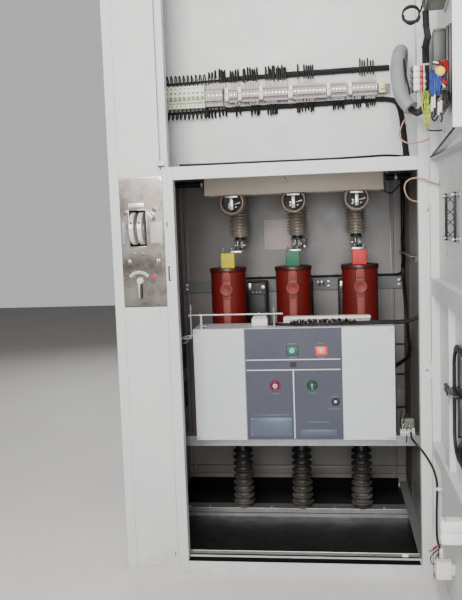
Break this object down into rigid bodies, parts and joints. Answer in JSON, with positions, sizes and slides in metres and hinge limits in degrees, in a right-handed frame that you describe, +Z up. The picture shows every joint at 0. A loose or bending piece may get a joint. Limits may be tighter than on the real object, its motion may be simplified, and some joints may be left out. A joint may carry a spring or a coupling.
{
  "type": "metal-enclosed switchgear bay with a fixed vacuum circuit breaker",
  "caption": "Free-standing steel switchgear bay, doors open: cast poles on a spring-drive breaker housing, ribbed isolator insulators above, control box with terminals on top.",
  "frame": {"origin": "on the ground at the centre of the rectangle of anchor bolt holes, which is the centre of the cabinet's base", "axes": "+X to the right seen from the front, +Y from the front to the back, +Z up"},
  "size_m": [1.144, 1.855, 2.65],
  "materials": {
    "cabinet_paint": "fine textured light grey powder coat",
    "bay_paint": "grey powder coat",
    "black_steel": "matt black paint",
    "zinc_steel": "zinc plated",
    "polished_steel": "polished stainless",
    "tinned_copper": "tinned",
    "beige_paint": "satin",
    "brown_resin": "glossy cast resin",
    "grey_brown_resin": "satin cast resin",
    "black_resin": "satin cast resin",
    "red_resin": "glossy cast resin",
    "sleeve_green": "heat-shrink sleeve, one phase colour for each bar",
    "housing_paint": "fine powder coat",
    "face_paint": "satin print on sheet",
    "button_red": "gloss",
    "button_green": "gloss",
    "white_plastic": "matt",
    "rail_breakers": "matt",
    "rail_terminals": "matt",
    "black_wire": "satin insulation",
    "grey_conduit": "corrugated",
    "black_plastic": "matt",
    "window_glass": "tinted pane in a rubber frame"
  },
  "bodies": {
    "cabinet": {"base_sills": "cabinet_paint", "left_post": "cabinet_paint", "mid_post": "cabinet_paint", "right_post": "cabinet_paint", "frame_bars": "cabinet_paint", "top_panel": "cabinet_paint", "upper_blank_door": "cabinet_paint", "lower_blank_door": "cabinet_paint", "side_sheets": "cabinet_paint", "rear_posts": "cabinet_paint", "rear_covers": "cabinet_paint", "roof_plate": "cabinet_paint", "lv_door": "cabinet_paint", "lv_back_panel": "cabinet_paint", "base_rails": "cabinet_paint", "bay_linings": "bay_paint", "back_wall": "bay_paint", "ceiling_plate": "bay_paint", "floor_plates": "black_steel", "drive_bracket": "black_steel", "isolator_shaft": "black_steel", "lower_rail": "zinc_steel", "wall_rail": "zinc_steel", "carrier_rail": "zinc_steel", "interlock_rods": "zinc_steel", "hinge_pins": "zinc_steel", "drive_plate": "polished_steel", "earth_bar": "tinned_copper", "isolator_contacts": "tinned_copper", "phase_links": "tinned_copper", "lower_bars": "tinned_copper", "isolator_frame": "beige_paint", "isolator_bushings": "brown_resin", "isolator_insulators": "grey_brown_resin", "lower_insulators": "black_resin", "current_transformers": "black_resin", "breaker_poles": "red_resin", "phase_sleeves": "sleeve_green", "breaker_housing": "housing_paint", "breaker_face": "face_paint", "terminal_strip": "white_plastic", "junction_block": "white_plastic", "lv_breakers": "rail_breakers", "lv_terminals": "rail_terminals", "lv_looms": "black_wire", "wall_looms": "black_wire", "lv_conduit": "grey_conduit", "lv_door_devices": "black_plastic"},
    "main_door": {"main_door_panel": "cabinet_paint", "main_door_ribs": "cabinet_paint", "main_door_window": "window_glass", "main_door_lock": "black_plastic", "main_door_blocks": "white_plastic"},
    "upper_disc": {"upper_drive_disc": "polished_steel"},
    "lower_disc": {"lower_drive_disc": "polished_steel"},
    "knob": {"locking_knob": "zinc_steel"},
    "selector": {"selector_lever": "black_plastic"},
    "off_button": {"off_button": "button_red"},
    "on_button": {"on_button": "button_green"}
  },
  "joints": [
    {"name": "main_door_hinge", "type": "hinge", "parent": "cabinet", "child": "main_door", "pos_m": [0.55, -0.481, 0.75], "axis": [0, 0, 1], "range_deg": [-90, 0]},
    {"name": "upper_drive_turn", "type": "hinge", "parent": "cabinet", "child": "upper_disc", "pos_m": [-0.4685, -0.463, 1.264], "axis": [1, 0, 0], "range_deg": [0, 100]},
    {"name": "lower_drive_turn", "type": "hinge", "parent": "cabinet", "child": "lower_disc", "pos_m": [-0.4395, -0.463, 1.264], "axis": [1, 0, 0], "range_deg": [0, 100]},
    {"name": "knob_pull", "type": "slide", "parent": "cabinet", "child": "knob", "axis": [0, -1, 0], "range_m": [0, 0.01], "stiffness_N_per_m": 400},
    {"name": "selector_turn", "type": "hinge", "parent": "cabinet", "child": "selector", "pos_m": [-0.454, -0.475, 1.079], "axis": [0, 1, 0], "range_deg": [-45, 45]},
    {"name": "off_push", "type": "slide", "parent": "cabinet", "child": "off_button", "axis": [0, 1, 0], "range_m": [0, 0.006], "stiffness_N_per_m": 600},
    {"name": "on_push", "type": "slide", "parent": "cabinet", "child": "on_button", "axis": [0, 1, 0], "range_m": [0, 0.006], "stiffness_N_per_m": 600}
  ]
}
